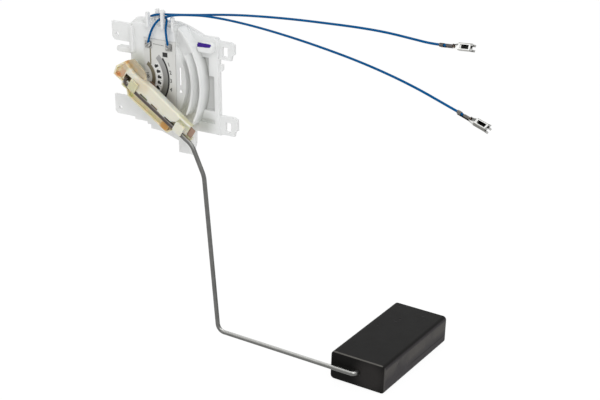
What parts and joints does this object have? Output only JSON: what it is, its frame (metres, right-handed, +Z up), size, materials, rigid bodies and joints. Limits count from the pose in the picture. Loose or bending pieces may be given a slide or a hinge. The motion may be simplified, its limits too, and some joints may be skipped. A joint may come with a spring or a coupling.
{
  "type": "fuel level sender",
  "caption": "Fuel level sender with a printed resistor card, a swinging wire arm, a black foam float and two blue leads.",
  "frame": {"origin": "on the arm's pivot axis, in the rear mounting plane of the housing", "axes": "+Z up as the picture shows the sender, +X to the right towards the leads' ends, front faces -Y, rear mounting face +Y"},
  "size_m": [0.2444, 0.1006, 0.2045],
  "materials": {
    "natural_plastic": "satin",
    "card_ceramic": "satin",
    "brown_print": "satin",
    "grey_print": "satin",
    "black_print": "satin",
    "solder_metal": "satin",
    "ivory_plastic": "satin",
    "bronze": "satin",
    "contact_metal": "satin",
    "rod_steel": "satin",
    "black_foam": "satin",
    "blue_skin": "gloss",
    "wire_copper": "satin",
    "terminal_metal": "satin"
  },
  "bodies": {
    "root": {"housing": "natural_plastic", "resistor_card": "card_ceramic", "ground_track": "brown_print", "collector_band": "grey_print", "resistor_arc": "black_print", "contact_marks": "black_print", "trim_patch": "black_print", "terminal_pads": "solder_metal", "upper_solder": "solder_metal", "lower_solder": "solder_metal", "upper_wire": "blue_skin", "lower_wire": "blue_skin", "upper_core": "wire_copper", "lower_core": "wire_copper", "upper_terminal": "terminal_metal", "lower_terminal": "terminal_metal"},
    "arm": {"arm_carrier": "ivory_plastic", "wiper_spring": "bronze", "wiper_buttons": "contact_metal", "float_rod": "rod_steel"},
    "float": {"foam_float": "black_foam"}
  },
  "joints": [
    {"name": "arm_swing", "type": "hinge", "parent": "root", "child": "arm", "pos_m": [0, 0, 0], "axis": [0, -1, 0], "range_deg": [0, 70]},
    {"name": "float_swivel", "type": "hinge", "parent": "arm", "child": "float", "pos_m": [0.1411, 0.02, -0.1432], "axis": [0, -1, 0], "continuous": true}
  ]
}
